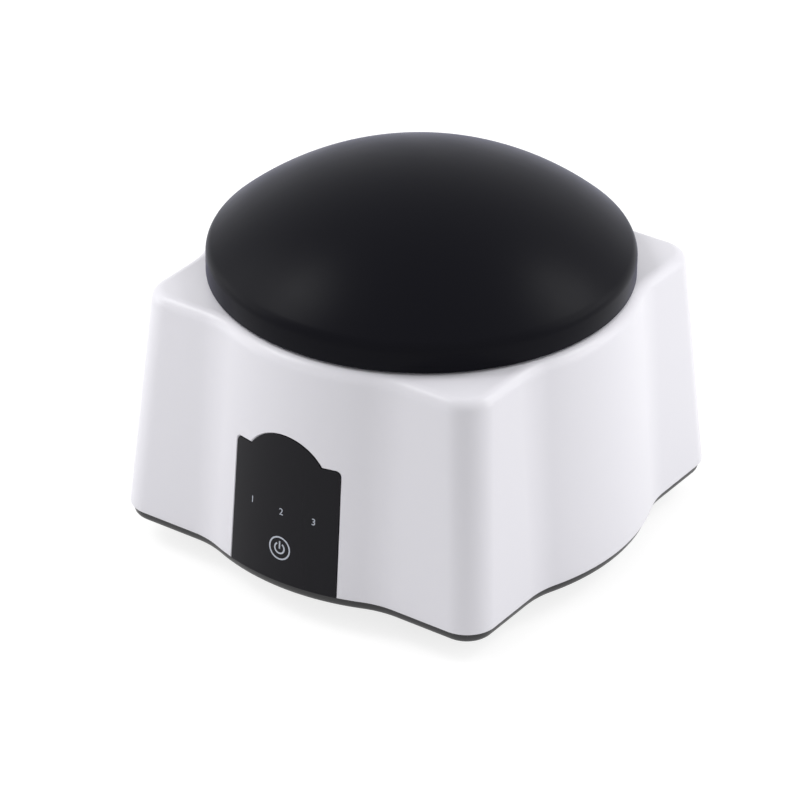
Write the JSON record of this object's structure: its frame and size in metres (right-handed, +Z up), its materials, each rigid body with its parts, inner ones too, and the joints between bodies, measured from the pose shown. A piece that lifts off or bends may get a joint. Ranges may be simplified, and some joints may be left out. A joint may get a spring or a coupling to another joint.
{
  "type": "gel polish remover machine",
  "caption": "Countertop steam machine that softens gel nail polish: bulging square case, domed lift-off lid, finger plate with cuffs, solvent tray on a heated bowl floor.",
  "frame": {"origin": "middle of the base on the table surface, at the underside of the rubber feet", "axes": "+Z up, the control panel faces -Y, +X is to the right seen from the front"},
  "size_m": [0.147, 0.147, 0.12],
  "materials": {
    "white_gloss": "glossy moulded",
    "black_base": "satin moulded",
    "black_rubber": "matt",
    "screw_steel": "zinc plated",
    "panel_black": "satin film",
    "black_nylon": "matt moulded",
    "clear_plastic": "clear moulded",
    "led_cream": "moulded",
    "board_green": "solder mask",
    "capacitor_sleeve": "shrink sleeve",
    "ivory_nylon": "moulded",
    "bowl_white": "heat-resistant moulded",
    "red_silicone": "matt",
    "cast_aluminium": "die cast",
    "element_ceramic": "matt",
    "clip_steel": "sheet metal",
    "sensor_brass": "stamped",
    "tray_aluminium": "anodised",
    "plate_black": "satin moulded",
    "cuff_silicone": "matt silicone",
    "lid_black": "soft-touch coat",
    "contact_nickel": "nickel plated",
    "lead_red": "wire sleeve",
    "lead_white": "wire sleeve",
    "lead_black": "wire sleeve"
  },
  "bodies": {
    "case": {"case_shell": "white_gloss", "base_plate": "black_base", "rubber_feet": "black_rubber", "case_screws": "screw_steel", "control_panel": "panel_black", "tact_switch": "screw_steel", "light_guide": "clear_plastic", "indicator_leds": "led_cream", "control_board": "board_green", "board_screws": "screw_steel", "controller_chip": "black_nylon", "heater_transistor": "black_nylon", "supply_capacitor": "capacitor_sleeve", "board_connectors": "ivory_nylon", "steam_bowl": "bowl_white", "bowl_screws": "screw_steel", "heater_gasket": "red_silicone", "heater_plate": "cast_aluminium", "heater_screws": "screw_steel", "heating_element": "element_ceramic", "element_clamp": "clip_steel", "clamp_screws": "screw_steel", "temperature_sensor": "sensor_brass", "thermal_fuse": "element_ceramic", "fuse_clip": "clip_steel", "inlet_socket": "black_nylon", "inlet_pin": "contact_nickel", "inlet_nut": "contact_nickel", "inlet_leads": "lead_red", "heater_leads": "lead_white", "sensor_lead": "lead_black"},
    "key": {"power_key": "panel_black", "switch_plunger": "black_nylon"},
    "tray": {"solvent_tray": "tray_aluminium"},
    "finger_deck": {"finger_plate": "plate_black", "finger_cuff_1": "cuff_silicone", "finger_cuff_2": "cuff_silicone", "finger_cuff_3": "cuff_silicone", "finger_cuff_4": "cuff_silicone", "finger_cuff_5": "cuff_silicone"},
    "lid": {"lid_cover": "lid_black", "lid_seal": "cuff_silicone"}
  },
  "joints": [
    {"name": "power_key_press", "type": "slide", "parent": "case", "child": "key", "axis": [0, 1, 0], "range_m": [0, 0.0003], "stiffness_N_per_m": 5000},
    {"name": "tray_lift", "type": "slide", "parent": "case", "child": "tray", "axis": [0, 0, 1], "range_m": [0, 0.075]},
    {"name": "finger_plate_lift", "type": "slide", "parent": "tray", "child": "finger_deck", "axis": [0, 0, 1], "range_m": [0, 0.08]},
    {"name": "lid_lift", "type": "slide", "parent": "finger_deck", "child": "lid", "axis": [0, 0, 1], "range_m": [0, 0.08]}
  ]
}
